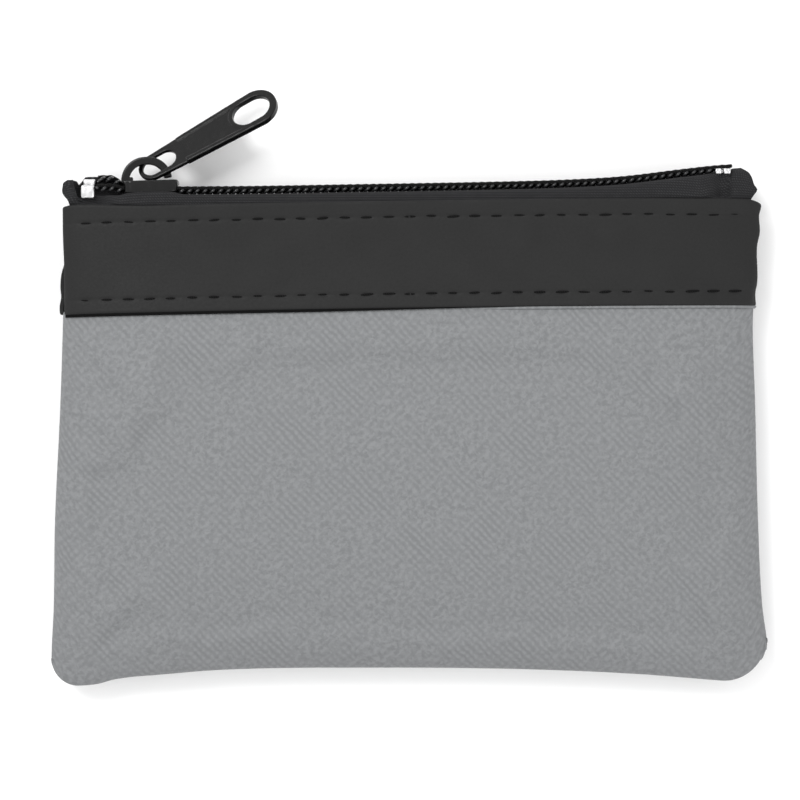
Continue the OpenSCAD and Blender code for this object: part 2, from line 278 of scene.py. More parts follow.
def make_piece(name, points, faces, material, uv=None, caps=0):
    """A mesh object from points in millimetres. uv is one place on the cloth for each point.

    The last faces, caps of them, close an end and are shaded flat.
    """
    mesh = bpy.data.meshes.new(name)
    mesh.from_pydata((np.asarray(points, float) * MM).tolist(), [], faces)
    mesh.materials.append(material)
    if uv is not None:
        corner = np.zeros(len(mesh.loops), np.int32)
        mesh.loops.foreach_get("vertex_index", corner)
        layer = mesh.uv_layers.new(name="cloth")
        layer.data.foreach_set("uv", np.asarray(uv, np.float32)[corner].ravel())
    smooth = [True] * (len(faces) - caps) + [False] * caps
    mesh.polygons.foreach_set("use_smooth", smooth)
    if caps:
        rims = {
            frozenset(pair) for face in faces[-caps:] for pair in zip(face, face[1:] + face[:1])
        }
        mesh.edges.foreach_set("use_edge_sharp", [frozenset(e.vertices) in rims for e in mesh.edges])
    mesh.update()
    return link(bpy.data.objects.new(name, mesh))


def unit(vectors):
    """The same directions, each of length 1."""
    return vectors / np.maximum(1e-9, np.linalg.norm(vectors, axis=-1, keepdims=True))


def grid_normals(grid):
    """Unit normals of a grid of points, to the side where the first axis turns to the second.

    A corner of the grid takes its normal from a point just inside, as its two edges may be in line.
    """
    normals = unit(np.cross(np.gradient(grid, axis=0), np.gradient(grid, axis=1)))
    for i, inner_i in ((0, 1), (-1, -2)):
        for j, inner_j in ((0, 1), (-1, -2)):
            normals[i, j] = normals[inner_i, inner_j]
    return normals


def cloth_place(grid, level):
    """Flat place on the cloth of each point of a grid.

    level 0 measures along the cloth, and level 1 looks at it from straight above.
    """
    across = np.linalg.norm(np.diff(grid, axis=0, prepend=grid[:1]), axis=-1).cumsum(0)
    along = np.linalg.norm(np.diff(grid, axis=1, prepend=grid[:, :1]), axis=-1).cumsum(1)
    measured = np.stack([across - across[len(grid) // 2], along], axis=-1)
    return mix(measured, grid[..., :2], level)


def round_edge(start, end, row, arc, fade):
    """Half a turn from the edge of one face to the edge of the other.

    It flattens over a distance of fade from the side seams, or not at all when fade is 0.
    """
    inside = -2 if row == -1 else 1
    a, b = start[:, row], end[:, row]
    middle, half = (a + b) / 2, (a - b) / 2
    outward = unit(np.cross(np.gradient(a, axis=0), half))
    outward = outward * np.sign(np.sum(outward * (a - start[:, inside])))
    outward = outward * np.linalg.norm(half, axis=-1, keepdims=True)
    if fade:
        outward = outward * np.sqrt(clamp01(side_distance(a[:, 0], a[:, 1]) / fade))[:, None]
    angles = [math.pi * (k + 1) / (arc + 1) for k in range(arc)]
    return np.stack([middle + half * math.cos(t) + outward * math.sin(t) for t in angles], axis=1)


def loop_faces(n, m):
    """Faces that join n closed loops of m points."""
    faces = []
    for i in range(n - 1):
        for j in range(m):
            k = (j + 1) % m
            faces.append((i * m + j, i * m + k, (i + 1) * m + k, (i + 1) * m + j))
    return faces


def cap_faces(at, m, turned):
    """Strip of faces over the end of a flat loop of m points."""
    faces = []
    half = m // 2
    for j in range(half - 1):
        face = (at + j, at + m - 1 - j, at + m - 2 - j, at + j + 1)
        faces.append(face[::-1] if turned else face)
    return faces


def sheet_piece(name, outer, inner, place, material, fade, arc=4):
    """A sheet with rounded long edges, from the grids of its two faces and their cloth places."""
    half = arc // 2
    edges = [round_edge(outer, inner, -1, arc, fade), round_edge(inner, outer, 0, arc, fade)]
    loops = np.concatenate([outer, edges[0], inner[:, ::-1], edges[1]], axis=1)
    turn = [np.repeat(place[:, row], arc, axis=1) for row in (slice(-1, None), slice(0, 1))]
    uv = np.concatenate([place, turn[0], place[:, ::-1], turn[1]], axis=1)
    loops, uv = np.roll(loops, half, axis=1), np.roll(uv, half, axis=1)
    n, m = loops.shape[:2]
    caps = cap_faces(0, m, False) + cap_faces((n - 1) * m, m, True)
    faces = loop_faces(n, m) + caps
    return make_piece(name, loops.reshape(-1, 3), faces, material, uv.reshape(-1, 2), len(caps))


def one_sheet(name, grid, thickness, material, level=0.0, fade=0.0):
    """A whole sheet, from the grid of its outer face."""
    inner = grid - grid_normals(grid) * thickness
    return sheet_piece(name, grid, inner, cloth_place(grid, level), material, fade)


def two_halves(name, grid, thickness, material, level=0.0, fade=0.0):
    """The left and right half of a sheet, which meet at the middle column."""
    inner = grid - grid_normals(grid) * thickness
    place = cloth_place(grid, level)
    middle = len(grid) // 2
    sides = (("_left", slice(0, middle + 1)), ("_right", slice(middle, None)))
    return [sheet_piece(name + suffix, grid[part], inner[part], place[part], material, fade)
            for suffix, part in sides]


def tube_rings(path, radius, sides, reference):
    """Rings of points round a path, and the faces between them, with flat ends."""
    path = np.asarray(path, float)
    tangent = unit(np.gradient(path, axis=0))
    side = unit(np.cross(tangent, np.asarray(reference, float)))
    up = np.cross(side, tangent)
    turns = np.linspace(0, 2 * math.pi, sides, endpoint=False)
    radius = np.broadcast_to(radius, len(path))[:, None, None]
    ring = side[:, None] * np.cos(turns)[:, None] + up[:, None] * np.sin(turns)[:, None]
    points = (path[:, None] + ring * radius).reshape(-1, 3)
    faces = loop_faces(len(path), sides)
    faces.append(tuple(range(sides))[::-1])
    faces.append(tuple((len(path) - 1) * sides + k for k in range(sides)))
    return points, faces


def tubes_piece(name, paths, radius, material, sides=8, reference=(0, 0, 1)):
    """Several tubes in one mesh. uv runs along each tube and round it."""
    points, faces, uv, first = [], [], [], 0
    for path in paths:
        some, between = tube_rings(path, radius, sides, reference)
        points.append(some)
        faces += [tuple(first + k for k in face) for face in between]
        along = np.linalg.norm(np.diff(path, axis=0, prepend=path[:1]), axis=-1).cumsum()
        rounds = np.arange(sides) / sides
        uv.append(np.stack(np.meshgrid(along, rounds, indexing="ij"), axis=-1).reshape(-1, 2))
        first += len(some)
    return make_piece(name, np.concatenate(points), faces, material, np.concatenate(uv))


def rounded_copy(node, name, material, voxel, passes, swell):
    """A CAD node's shape with its sharp edges worn round, and a coat of swell on it.

    voxel, the size of the new mesh's cells, and swell are in millimetres.
    """
    work = bmesh.new()
    work.from_mesh(frame["nodes"][node].data)
    bmesh.ops.remove_doubles(work, verts=work.verts, dist=1e-7)
    bmesh.ops.scale(work, vec=(1 / MM,) * 3, verts=work.verts)
    mesh = bpy.data.meshes.new(name)
    work.to_mesh(mesh)
    work.free()
    obj = link(bpy.data.objects.new(name, mesh))
    remesh = obj.modifiers.new("remesh", "REMESH")
    remesh.mode = "VOXEL"
    remesh.voxel_size = voxel
    remesh.use_smooth_shade = True
    smooth = obj.modifiers.new("smooth", "SMOOTH")
    smooth.iterations = passes
    smooth.factor = 0.5
    coat = obj.modifiers.new("coat", "DISPLACE")
    coat.strength = swell
    coat.mid_level = 0
    done = bpy.data.meshes.new_from_object(obj.evaluated_get(bpy.context.evaluated_depsgraph_get()))
    obj.modifiers.clear()
    done.transform(Matrix.Diagonal((MM, MM, MM, 1)))
    done.materials.clear()
    done.materials.append(material)
    done.polygons.foreach_set("use_smooth", [True] * len(done.polygons))
    obj.data = done
    bpy.data.meshes.remove(mesh)
    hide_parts(node)
    return obj


# ---------------------------------------------------------------- camera, light and floor
# The picture's middle and width in the plane of the seams, and the floor's size, in millimetres
VIEW_MIDDLE = (-1.81, 6.16)
VIEW_WIDTH = 144.9
LENS = 200
SENSOR = 36
FLOOR_HALF = 900
FLOOR_Z = -0.02


def make_camera():
    """Straight above the pouch, with its top edge up in the picture."""
    data = bpy.data.cameras.new("camera")
    data.lens = LENS
    data.sensor_width = SENSOR
    camera = link(bpy.data.objects.new("camera", data))
    camera.location = Vector((*VIEW_MIDDLE, SEAM_Z + VIEW_WIDTH * LENS / SENSOR)) * MM
    bpy.context.scene.camera = camera


def make_light(name, place, size, power):
    """A square lamp that faces the origin. Its place and size are metres."""
    data = bpy.data.lights.new(name, "AREA")
    data.size = size
    data.energy = power
    lamp = link(bpy.data.objects.new(name, data))
    lamp.location = place
    lamp.rotation_euler = (-Vector(place)).to_track_quat("-Z", "Y").to_euler()


def make_studio():
    """A white room with two soft lamps and a pale floor."""
    bpy.context.scene.view_settings.view_transform = "Standard"
    world = bpy.data.worlds.new("studio")
    world.use_nodes = True
    background = world.node_tree.nodes["Background"]
    background.inputs["Color"].default_value = (1, 1, 1, 1)
    background.inputs["Strength"].default_value = 1.05
    bpy.context.scene.world = world
    make_light("key", (-0.45, 0.55, 0.9), 0.45, 7.0)
    make_light("fill", (0.7, -0.6, 1.0), 1.2, 5.0)
    corners = [
        (x * FLOOR_HALF, y * FLOOR_HALF, FLOOR_Z) for x, y in ((-1, -1), (1, -1), (1, 1), (-1, 1))
    ]
    floor = make_piece("floor", corners, [(0, 1, 2, 3)], floor_material())


# ---------------------------------------------------------------- materials
SHADER_SOCKETS = {
    "specular": "Specular IOR Level",
    "sheen": "Sheen Weight",
    "metallic": "Metallic",
}


class Finish:
    """One procedural material: a Principled shader, and short calls that add nodes to it."""

    def __init__(self, name, colour, roughness, **fixed):
        self.material = bpy.data.materials.new(name)
        self.material.use_nodes = True
        self.nodes = self.material.node_tree.nodes
        self.links = self.material.node_tree.links
        self.shader = next(n for n in self.nodes if n.type == "BSDF_PRINCIPLED")
        self.set("Base Color", (*colour, 1))
        self.set("Roughness", roughness)
        for socket, value in fixed.items():
            self.set(SHADER_SOCKETS[socket], value)

    def set(self, socket, value):
        """Gives a socket of the shader a value, or joins another socket to it."""
        if isinstance(value, bpy.types.NodeSocket):
            self.links.new(value, self.shader.inputs[socket])
        else:
            self.shader.inputs[socket].default_value = value

    def add(self, kind, inputs, output=0, **settings):
        """A node, its inputs given as a dict of index or name to value or socket."""
        node = self.nodes.new("ShaderNode" + kind)
        for key, value in settings.items():
            setattr(node, key, value)
        for key, value in inputs.items():
            if isinstance(value, bpy.types.NodeSocket):
                self.links.new(value, node.inputs[key])
            else:
                node.inputs[key].default_value = value
        return node.outputs[output]

    def sum(self, operation, a, b=0.0, c=0.0):
        """One step of arithmetic, such as ADD, MULTIPLY, or MULTIPLY_ADD for a * b + c."""
        return self.add("Math", {0: a, 1: b, 2: c}, operation=operation)

    def place(self):
        """Where a point lies on the flat cloth, in millimetres."""
        return self.add("UVMap", {}, uv_map="cloth")

    def solid(self):
        """Where a point lies on the part, in metres."""
        return self.add("TexCoord", {}, output=3)

    def noise(self, place, scale, detail=2.0, roughness=0.5):
        """Smooth noise from 0 to 1, with scale features to each unit of place."""
        inputs = {"Vector": place, "Scale": scale, "Detail": detail, "Roughness": roughness}
        return self.add("TexNoise", inputs)

    def split(self, place):
        """The X and Y of a place."""
        x = self.add("SeparateXYZ", {0: place}, output=0)
        y = self.add("SeparateXYZ", {0: place}, output=1)
        return x, y

    def wave(self, value, pitch):
        """0 to 1 and back over each pitch."""
        turned = self.sum("COSINE", self.sum("MULTIPLY", value, 2 * math.pi / pitch))
        return self.sum("MULTIPLY_ADD", turned, 0.5, 0.5)

    def warped(self, place, scale, amount):
        """The same place, pushed about by smooth noise, so that a pattern loses its regularity."""
        push = self.add("TexNoise", {"Vector": place, "Scale": scale, "Detail": 2.0}, output=1)
        centred = self.add("VectorMath", {0: push, 1: (0.5, 0.5, 0.5)}, operation="SUBTRACT")
        scaled = self.add("VectorMath", {0: centred, 1: (amount,) * 3}, operation="MULTIPLY")
        return self.add("VectorMath", {0: place, 1: scaled}, operation="ADD")

    def blend(self, factor, low, high):
        """One number where factor is 0, another where it is 1."""
        return self.add("Mix", {0: factor, 2: low, 3: high}, data_type="FLOAT")

    def spread(self, value, low, high, to_low, to_high):
        """The range from low to high, stretched over the range from to_low to to_high."""
        inputs = {0: value, 1: low, 2: high, 3: to_low, 4: to_high}
        return self.add("MapRange", inputs)

    def shade(self, factor, dark, light):
        """One colour where factor is 0, another where it is 1."""
        inputs = {0: factor, 6: (*dark, 1), 7: (*light, 1)}
        return self.add("Mix", inputs, output=2, data_type="RGBA")

    def bump(self, height, distance, strength=1.0):
        """Relief of that height, distance millimetres from 0 to 1."""
        inputs = {"Height": height, "Distance": distance * MM, "Strength": strength}
        self.set("Normal", self.add("Bump", inputs))


# Distances between the ribs of the fabric, and of the tape along and across it, in millimetres
FABRIC_RIB = 1.12
TAPE_WARP = 0.46
TAPE_WEFT = 0.5
THREAD_TWIST = 0.4


def floor_material():
    """Pale paper, a little uneven."""
    look = Finish("floor_paper", (0.93, 0.93, 0.93), 0.9)
    look.set("Base Color", look.shade(look.noise(look.solid(), 9), (0.92,) * 3, (0.94,) * 3))
    return look.material


def fabric_material():
    """Coated polyester with a slanting lattice of small pressed ribs, a little over 1 mm apart."""
    look = Finish("grey_fabric", (0.21, 0.215, 0.22), 0.62, specular=0.2)
    place = look.warped(look.place(), 0.6, 1.0)
    x, y = look.split(place)
    pitch = FABRIC_RIB * math.sqrt(2)
    ribs = look.wave(look.sum("ADD", x, y), pitch)
    rows = look.wave(look.sum("SUBTRACT", x, y), pitch)
    patchy = look.spread(look.noise(place, 0.11, 3, 0.6), 0.42, 0.64, 0.0, 0.9)
    lattice = look.sum("MULTIPLY", ribs, look.spread(rows, 0, 1, 0.45, 1))
    pebbles = look.spread(look.noise(place, 1.05, 2, 0.6), 0.36, 0.64, 0, 1)
    grain = look.noise(place, 2.2, 3, 0.7)
    loose = look.sum("MULTIPLY", pebbles, look.spread(rows, 0, 1, 0.6, 1))
    relief = look.blend(patchy, loose, lattice)
    relief = look.sum("MULTIPLY_ADD", grain, 0.5, relief)
    look.bump(relief, 0.10, 0.9)
    # Painted light and shade: the colour follows the relief, lighter on the ribs' tops and darker in
    # the hollows between them, with the grain's random tone mixed in.
    look.set("Base Color", look.shade(relief, (0.134, 0.138, 0.142), (0.192, 0.197, 0.202)))
    look.set("Roughness", look.spread(grain, 0.3, 0.7, 0.5, 0.72))
    return look.material


def band_material():
    """Black grained leatherette."""
    look = Finish("band_trim", (0.017, 0.017, 0.017), 0.6, specular=0.17)
    place = look.place()
    grain = look.noise(place, 1.9, 4, 0.65)
    cells = look.add("TexVoronoi", {"Vector": place, "Scale": 2.6}, feature="SMOOTH_F1")
    relief = look.sum("MULTIPLY_ADD", cells, 0.5, grain)
    look.bump(relief, 0.035, 0.7)
    mottle = look.noise(place, 0.12, 4)
    look.set("Base Color", look.shade(mottle, (0.0105,) * 3, (0.0155,) * 3))
    look.set("Roughness", look.spread(grain, 0.3, 0.7, 0.5, 0.7))
    return look.material


def hem_painted_shade_material():
    """The band's turned-in hem, dull and coloured darker than the band, as painted shade of the gap
    under the band's fold.
    """
    look = Finish("band_hem", (0.004,) * 3, 0.9, specular=0.05)
    fibres = look.noise(look.place(), 6, 3)
    # Painted shade: near-black, darker than the band, where the gap under the band's bottom fold is
    # shaded.
    look.set("Base Color", look.shade(fibres, (0.002,) * 3, (0.007,) * 3))
    look.bump(fibres, 0.02)
    return look.material


def tape_material():
    """Black woven polyester tape: ribs along the zip, crossed by the weft."""
    look = Finish("zip_tape", (0.015, 0.015, 0.016), 0.9, specular=0.1, sheen=0.03)
    place = look.place()
    x, y = look.split(place)
    warp = look.wave(y, TAPE_WARP)
    weft = look.wave(look.sum("MULTIPLY_ADD", y, 0.9, x), TAPE_WEFT)
    fuzz = look.noise(place, 5, 3, 0.7)
    woven = look.sum("MULTIPLY", look.sum("MULTIPLY", warp, weft), look.noise(place, 0.7, 3, 0.7))
    relief = look.sum("MULTIPLY_ADD", fuzz, 0.5, woven)
    look.bump(relief, 0.08)
    look.set("Base Color", look.shade(relief, (0.003, 0.003, 0.0035), (0.046, 0.046, 0.048)))
    return look.material


def thread_material(name, dark, light):
    """Twisted sewing thread."""
    look = Finish(name, light, 0.85, specular=0.08)
    x, y = look.split(look.place())
    twist = look.wave(look.sum("MULTIPLY_ADD", y, 0.8, x), THREAD_TWIST)
    look.bump(twist, 0.05)
    look.set("Base Color", look.shade(twist, dark, light))
    return look.material


def coil_material():
    """Nylon monofilament with drawing marks along it."""
    look = Finish("coil", (0.012, 0.012, 0.013), 0.2, specular=0.5)
    marks = look.noise(look.solid(), 2500, 2)
    look.bump(marks, 0.01, 0.5)
    look.set("Roughness", look.spread(marks, 0.3, 0.7, 0.14, 0.26))
    return look.material


def metal_material(name, dark, light, roughness, metallic):
    """Metal with a fine uneven surface and rubbed patches."""
    look = Finish(name, light, roughness, metallic=metallic, specular=0.3)
    place = look.solid()
    wear = look.noise(place, 900, 4, 0.6)
    look.bump(look.noise(place, 1500, 2), 0.012, 0.6)
    look.set("Base Color", look.shade(wear, dark, light))
    look.set("Roughness", look.spread(wear, 0.3, 0.7, roughness - 0.06, roughness + 0.1))
    return look.material


FABRIC = fabric_material()
BAND = band_material()
PAINTED_SHADE_HEM = hem_painted_shade_material()
TAPE = tape_material()
BLACK_THREAD = thread_material("black_thread", (0.002,) * 3, (0.009,) * 3)
GREY_THREAD = thread_material("grey_thread", (0.12, 0.12, 0.125), (0.30, 0.31, 0.32))
COIL = coil_material()
BLACK_METAL = metal_material("slider_metal", (0.001,) * 3, (0.003,) * 3, 0.2, 0.0)
BRIGHT_METAL = metal_material("stop_metal", (0.55, 0.55, 0.56), (0.85, 0.85, 0.85), 0.25, 1.0)


# ---------------------------------------------------------------- cloth simulation
# The simulation runs on an enlarged sheet, for this many frames, on a grid of this many points
SLACK_SCALE = 10
SLACK_FRAMES = 24
SLACK_GRID = (72, 40)
# How much larger the cloth is than its seams, and the most that a point may move
SLACK_GROWTH = 0.012
SLACK_CAP = 1.1
# The way on which the seams' hold fades out, where the band's hold begins, and the way until it is full
SLACK_MARGIN = 9
SLACK_TOP = 12
SLACK_TOP_EASE = 8


def slacken(grid, pinned, growth, cap):
    """Lets a sheet that is a little too large for its seams find its own ripples.

    grid is the sheet's points, and pinned is 1 where a seam holds it. Returns the shift of each
    point, at most cap, in millimetres.
    """
    n, m = grid.shape[:2]
    faces = [(i * m + j, (i + 1) * m + j, (i + 1) * m + j + 1, i * m + j + 1)
             for i in range(n - 1) for j in range(m - 1)]
    upset = grid.copy()
    upset[..., 2] += 0.12 * ripple(grid[..., 0], grid[..., 1], 9, 3.5) * (1 - pinned)
    mesh = bpy.data.meshes.new("slack")
    mesh.from_pydata((upset.reshape(-1, 3) * SLACK_SCALE * MM).tolist(), [], faces)
    cloth = link(bpy.data.objects.new("slack", mesh))
    held = cloth.vertex_groups.new(name="held")
    for k, share in enumerate(pinned.ravel()):
        held.add([k], float(share), "REPLACE")
    settings = cloth.modifiers.new("cloth", "CLOTH").settings
    settings.vertex_group_mass = "held"
    settings.quality = 8
    settings.mass = 0.2
    settings.tension_stiffness = 30
    settings.compression_stiffness = 30
    settings.shear_stiffness = 8
    settings.bending_stiffness = 2.5
    settings.air_damping = 4
    settings.shrink_min = -growth
    settings.effector_weights.gravity = 0.15
    scene = bpy.context.scene
    for number in range(SLACK_FRAMES):
        scene.frame_set(number + 1)
    done = cloth.evaluated_get(bpy.context.evaluated_depsgraph_get()).to_mesh()
    settled = np.zeros(len(done.vertices) * 3, np.float32)
    done.vertices.foreach_get("co", settled)
    cloth.evaluated_get(bpy.context.evaluated_depsgraph_get()).to_mesh_clear()
    scene.frame_set(1)
    bpy.data.objects.remove(cloth)
    bpy.data.meshes.remove(mesh)
    shift = settled.reshape(n, m, 3) / (SLACK_SCALE * MM) - grid
    length = np.linalg.norm(shift, axis=-1, keepdims=True)
    return shift * np.minimum(1, cap / np.maximum(length, 1e-9)) * (1 - pinned[..., None])


def resample(field, n, m):
    """A field on a grid, read on a finer grid over the same sheet."""
    rows = np.linspace(0, field.shape[0] - 1, n)
    columns = np.linspace(0, field.shape[1] - 1, m)
    along = np.stack([through_grid(field, c, 1) for c in columns], axis=1)
    return np.stack([through_grid(along, r, 0) for r in rows], axis=0)


def through_grid(field, at, axis):
    """The field's slice at a fractional index, on a cubic through its four neighbours."""
    last = field.shape[axis] - 1
    i = min(int(at), last - 1)
    t = at - i
    near = [np.take(field, min(max(i + k, 0), last), axis) for k in (-1, 0, 1, 2)]
    slope_a, slope_b = (near[2] - near[0]) / 2, (near[3] - near[1]) / 2
    start = (1 + 2 * t) * (1 - t) ** 2 * near[1] + t * (1 - t) ** 2 * slope_a
    return start + t * t * (3 - 2 * t) * near[2] + t * t * (t - 1) * slope_b


# ---------------------------------------------------------------- the body panels
# Under the band a panel is this share narrower, so that its sides stay covered
TUCK = 0.016
TUCK_HEIGHT = 1.5
# Share of a panel's cloth place that is read from straight above, and the distance from the side
# seams over which its rounded edge flattens
FABRIC_LEVEL = 0.65
FABRIC_FADE = 1.5


def panel_xy(n, m):
    """Places of a panel's points in front view, closer together near the seams."""
    u = np.sin(np.linspace(-math.pi / 2, math.pi / 2, n))[:, None]
    v = 1 - np.cos(np.linspace(0, math.pi / 2, m))[None, :]
    x = u * HALF_W + 0 * v
    for _ in range(3):
        y = mix(low_y(x), PANEL_TOP + x * BAND_SLOPE, v)
        x = np.where(u < 0, -u * side_x(y, -1), u * side_x(y, 1))
    tucked = ease((y - band_line(x) + BAND_H - 0.3) / TUCK_HEIGHT)
    return x * (1 - TUCK * tucked), y


def slack_shift(n, m):
    """How the front panel's own slack moves its points."""
    x, y = panel_xy(*SLACK_GRID)
    grid = np.stack([x, y, front_z(x, y)], axis=-1)
    seam = np.minimum(side_distance(x, y), y - low_y(x))
    pinned = np.maximum(1 - ease(seam / SLACK_MARGIN), ease((y - SLACK_TOP) / SLACK_TOP_EASE))
    return resample(slacken(grid, pinned, SLACK_GROWTH, SLACK_CAP), n, m)


def front_panel_grid(n, m):
    """Points of the front panel's outer face, with its slack."""
    x, y = panel_xy(n, m)
    return np.stack([x, y, front_z(x, y)], axis=-1) + slack_shift(n, m)


def back_panel_grid(n, m):
    """Points of the back panel's outer face, which lies on what it rests on."""
    x, y = panel_xy(n, m)
    return np.stack([x, y, np.maximum(0.0, back_z(x, y))], axis=-1)


# ---------------------------------------------------------------- the band and its stitches
STITCHES = int((2 * HALF_W - 4) // STITCH_PITCH)
# How far down the band each row lies
STITCH_ROWS = (("upper", UPPER_ROW), ("lower", BAND_H - LOWER_ROW))
# The sewing's dent: a furrow along each row, deeper at each stitch, in a wide shallow hollow
FURROW_DEPTH = 0.05
STITCH_DEPTH = 0.17
FURROW_HALF = 0.34
HOLLOW_DEPTH = 0.06
HOLLOW_HALF = 1.5


def stitch_places():
    """X of the middle of each stitch of a row."""
    return (np.arange(STITCHES) - (STITCHES - 1) / 2) * STITCH_PITCH


def stitch_dip(x, y):
    """How far the sewing pulls the band down at a point."""
    dip = 0.0
    beat = 0.5 + 0.5 * np.cos(2 * math.pi * (x - stitch_places()[0]) / STITCH_PITCH)
    for _, drop in STITCH_ROWS:
        off = y - (band_line(x) - drop)
        dip = dip + (FURROW_DEPTH + STITCH_DEPTH * beat) * np.exp(-((off / FURROW_HALF) ** 2))
        dip = dip + HOLLOW_DEPTH * np.exp(-((off / HOLLOW_HALF) ** 2))
    return dip


def band_rows():
    """Heights within the band, from 0 to 1, closer together at the stitches and the folds."""
    rows = np.concatenate([
        np.linspace(0, 0.04, 4), np.linspace(0.07, 0.20, 15), np.linspace(0.24, 0.78, 14),
        np.linspace(0.80, 0.92, 14), np.linspace(0.94, 1, 6),
    ])
    return rows[None, :]


# (Y, distance) knots of how far each end of a band stands out past its straight end
FRONT_LEFT_EDGE = [(21, 0.1), (30, 0.15), (36, 0.4), (42, 0.45)]
FRONT_RIGHT_EDGE = [
    (22.5, 0.35), (25.5, 0.1), (27.4, 0.45), (34.3, 0.45), (36.4, 0.95), (39.5, 0.8), (41.6, 1.15),
    (42.4, 0.5),
]
BACK_LEFT_EDGE = [
    (20.5, 0.4), (21.5, 0.95), (23, 1.1), (24.8, 0.8), (26.5, 0.95), (29, 0.75), (31, 0.15), (42, -0.2),
]
BACK_RIGHT_EDGE = [(22, -0.5), (30, -0.2), (36, 0.2), (42, -0.2)]


def end_share(x, start, end):
    """0 up to start from the middle, 1 at end, and steadily steeper between them."""
    return clamp01((np.abs(x) - start) / (end - start)) ** 2


def band_grid(front, n=361):
    """Points of a band's outer face, with its side edges turned down to the seam."""
    x = np.linspace(-1, 1, n)[:, None] * (HALF_W - 0.5)
    half = BAND_T / 2
    y = mix(band_line(x) - BAND_H + half, high_y(x) - half, band_rows())
    share = end_share(x, 50, HALF_W)
    left = through(FRONT_LEFT_EDGE if front else BACK_LEFT_EDGE, y)
    right = through(FRONT_RIGHT_EDGE if front else BACK_RIGHT_EDGE, y)
    calm = 1 - end_share(x, 58, HALF_W)
    waves = 0.10 * ripple(x, y, 11, 1.5) + 0.05 * ripple(x, y, 4, 7.5)
    lift = SLACK + BAND_T + calm * (waves - stitch_dip(x, y))
    z = front_z(x, y) + lift if front else back_z(x, y) - lift
    face = np.stack([x + share * np.where(x < 0, -left, right), y, z], axis=-1)
    seam = SEAM_Z + (SEAM_GAP if front else -SEAM_GAP)
    return np.concatenate([turned_down(face[0], -1, seam)[::-1], face, turned_down(face[-1], 1, seam)])


def turned_down(edge, side, seam, steps=5):
    """Columns that carry on from a band's side edge and go down to the height of the seam."""
    turns = [math.pi / 2 * (k + 1) / steps for k in range(steps)]
    drop = seam - edge[:, 2]
    return np.array([
        np.stack([edge[:, 0] + side * 0.15 * math.sin(t), edge[:, 1],
                  edge[:, 2] + drop * (1 - math.cos(t))], axis=-1)
        for t in turns
    ])


def hem_show(x):
    """How far the band's turned-in hem shows below its fold, 1 at the left seam, 0 on the right."""
    return ease((28 - x) / 50)


def hem_grid(n=121):
    """The band's turned-in hem, which lies on the panel and shows as a dark line: its darker colour is
    painted shade under the band's fold.
    """
    x = np.linspace(-1, 1, n)[:, None] * (HALF_W - 0.5)
    low = band_line(x) - BAND_H
    y = mix(low + 0.1 - 0.5 * hem_show(x), low + 1.6, np.linspace(0, 1, 5)[None, :])
    return np.stack([x + 0 * y, y, front_z(x, y) + 0.45], axis=-1)


# Where the ridge starts, the way on which it rises to its full height, and its radius
RIDGE_START = 8
RIDGE_EASE = 14
RIDGE_R = 0.33


def ridge_path():
    """The panel's edge, rolled against the band's fold on the right, where no hem shows."""
    x = np.linspace(RIDGE_START, HALF_W - 0.4, 120)
    y = band_line(x) - BAND_H - 0.22
    lift = mix(-0.3, 0.1, ease((x - RIDGE_START) / RIDGE_EASE))
    return np.stack([x, y, front_z(x, y) + lift], axis=-1)


def stitch_row(name, front, drop):
    """A row of thread dashes, each an arch that dips into its needle holes.

    Each dash is a little off its place, its height, its length and its slope.
    """
    paths = []
    s = np.linspace(-1, 1, 9)
    for place in stitch_places():
        wobble, lean, reach = noise.noise_vector(Vector((place * 0.37, drop, 2.5)))
        x = place + 0.5 * reach + s * (STITCH_L + 1.1 * reach) / 2
        y = band_line(place) - drop + 0.25 * wobble + (x - place) * BAND_SLOPE + 0.2 * lean * s
        lift = SLACK + BAND_T - 0.25 + 0.09 * lean - 0.26 * s**4
        z = front_z(x, y) + lift if front else back_z(x, y) - lift
        paths.append(np.stack([x, y, z], axis=-1))
    return tubes_piece(name, paths, THREAD_R, BLACK_THREAD)


# ---------------------------------------------------------------- the zip
# Six points of the tape's cross-section, from the band's fold to the chain. Depths are measured from
# the plane of the seams, and rises from the chain.
JOINED_DEPTHS = np.array([4.5, 4.35, 4.2, 3.7, 1.9, 0.6])
PARTED_RISES = np.array([-0.6, 0.5, 1.4, 2.2, 2.9, 3.5])
PARTED_DEPTHS = np.array([3.2, 3.2, 2.9, 2.6, 2.5, 2.4])
STANDING_RISES = np.array([-0.6, 0.3, 1.1, 1.8, 2.4, 2.9])
STANDING_DEPTHS = np.linspace(2.4, 1.3, 6)
# What the slider adds to the rises beside it, and what the top stop takes off them past the chain
SLIDER_RISES = np.array([0, 0.3, 0.7, 0.7, 0.6, 0.5])
NOTCH_DROPS = np.array([0, 0, 0, 0.5, 0.9, 1.3])
NOTCH_X = -59.75
NOTCH_HALF = 0.45
# How high the right end stands, as a share of the left one
RIGHT_STAND = 0.25


